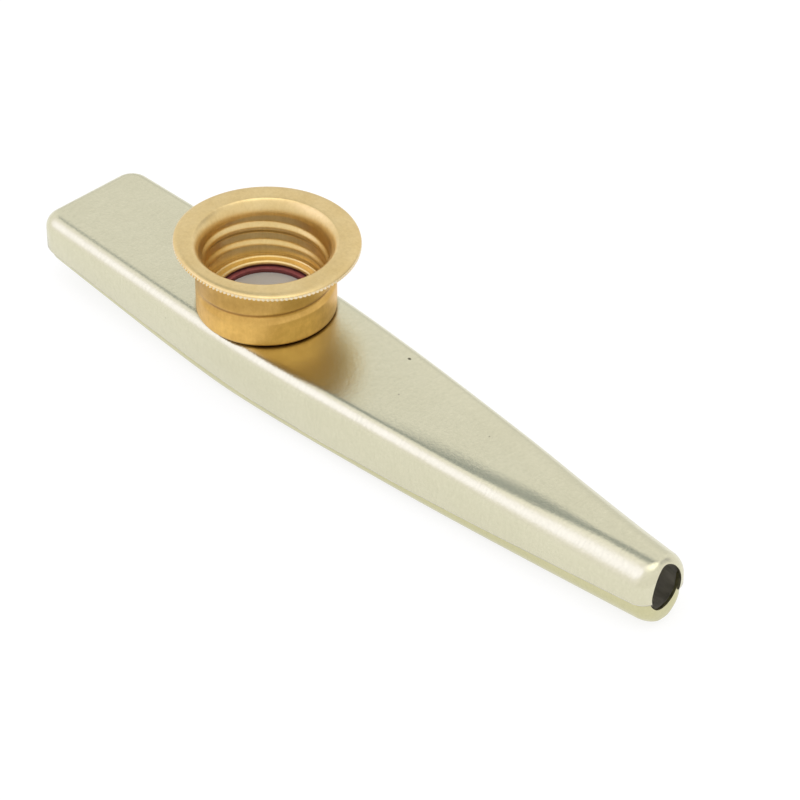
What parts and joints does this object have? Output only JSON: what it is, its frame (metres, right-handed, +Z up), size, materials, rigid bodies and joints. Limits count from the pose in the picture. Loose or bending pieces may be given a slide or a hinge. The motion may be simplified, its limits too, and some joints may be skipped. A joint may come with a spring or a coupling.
{
  "type": "kazoo",
  "caption": "Metal kazoo with a flattened, tapering two-shell body and a gold screw-down turret cap that clamps a ring-mounted buzzing membrane.",
  "frame": {"origin": "on the rest face, under the middle of the part's overall box", "axes": "+X along the body towards the nose with the round hole, +Y across the body, +Z up out of the turret"},
  "size_m": [0.1207, 0.0278, 0.0223],
  "materials": {
    "upper_shell": "satin nickel plate with a warm cast, finely brushed across the body",
    "lower_shell": "satin plate, a little yellower than the upper shell",
    "turret_collar": "satin gold-coloured brass",
    "turret_cap": "satin gold-coloured brass with a notched gripping edge",
    "membrane_ring": "maroon pressed card",
    "membrane_film": "thin translucent film"
  },
  "bodies": {
    "body": {"upper_shell": "upper_shell", "lower_shell": "lower_shell", "turret_collar": "turret_collar"},
    "membrane": {"membrane_ring": "membrane_ring", "membrane_film": "membrane_film"},
    "cap": {"turret_cap": "turret_cap"}
  },
  "joints": [
    {"name": "membrane_lift", "type": "slide", "parent": "body", "child": "membrane", "axis": [0, 0, 1], "range_m": [0, 0.004]},
    {"name": "cap_turn", "type": "hinge", "parent": "membrane", "child": "cap", "pos_m": [-0.0198, 0, 0.0158], "axis": [0, 0, 1], "range_deg": [0, 450]}
  ],
  "couplings": [
    {"joint": "membrane_lift", "follows": "cap_turn", "m_per_rad": 0.00050134}
  ]
}
